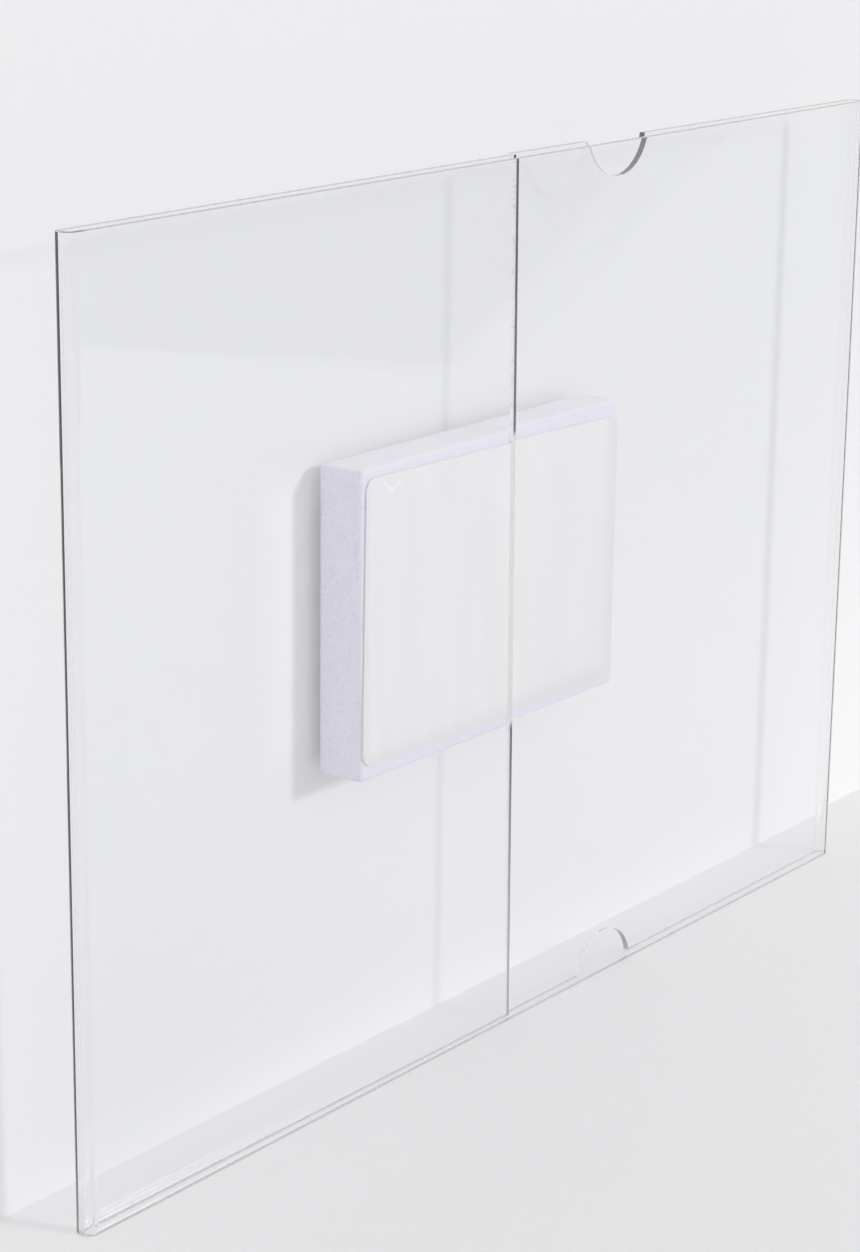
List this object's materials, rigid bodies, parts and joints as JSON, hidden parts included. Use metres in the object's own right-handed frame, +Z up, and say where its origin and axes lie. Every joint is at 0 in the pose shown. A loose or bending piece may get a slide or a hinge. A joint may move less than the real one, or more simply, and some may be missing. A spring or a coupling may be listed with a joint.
{
  "type": "adhesive picture frame",
  "caption": "Clear folded wall pocket for a landscape picture, open at top and bottom, with thumb notches and a foam mounting pad behind it.",
  "frame": {"origin": "middle of the wall side of the tape behind the foam pad", "axes": "+X right as seen from the front, along the sleeve's long side; +Y towards the wall; +Z up"},
  "size_m": [0.303, 0.021, 0.212],
  "materials": {
    "clear_sheet": "clear, polished, with plain cut edges",
    "pad_foam": "fine closed-cell foam, matt",
    "adhesive_sheet": "satin, pale grey"
  },
  "bodies": {
    "root": {"sleeve": "clear_sheet", "foam_pad": "pad_foam", "front_adhesive": "adhesive_sheet", "wall_adhesive": "adhesive_sheet"}
  },
  "joints": []
}
